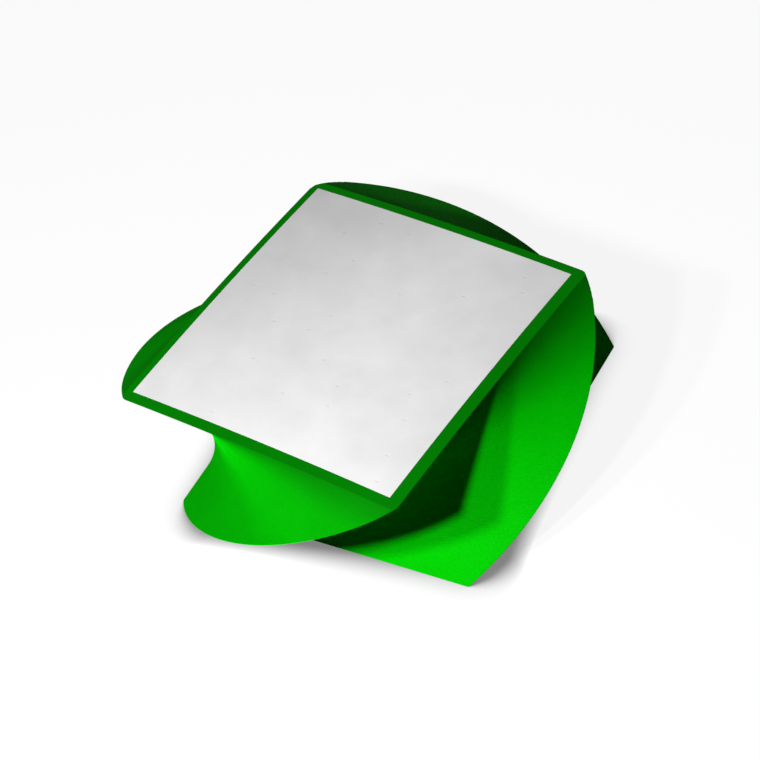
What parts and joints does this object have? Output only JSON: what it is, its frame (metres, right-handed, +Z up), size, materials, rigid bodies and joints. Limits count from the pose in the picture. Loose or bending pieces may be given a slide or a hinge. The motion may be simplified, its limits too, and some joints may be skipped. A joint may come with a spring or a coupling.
{
  "type": "spiral memo cube",
  "caption": "Low block of square memo sheets, each turned a little on the one below it, so that the green sides wind up in a spiral under a white writing face.",
  "frame": {"origin": "middle of the bottom sheet's underside, on the surface that the pad stands on", "axes": "+Z up; X and Y along the sides of the bottom sheet; the sheets turn counter-clockwise going up, seen from above"},
  "size_m": [0.1273, 0.128, 0.047],
  "materials": {
    "green_sheet_edges": "matte",
    "green_printed_margin": "matte",
    "white_writing_face": "matte"
  },
  "bodies": {
    "root": {"sheet_stack": "green_sheet_edges"}
  },
  "joints": []
}
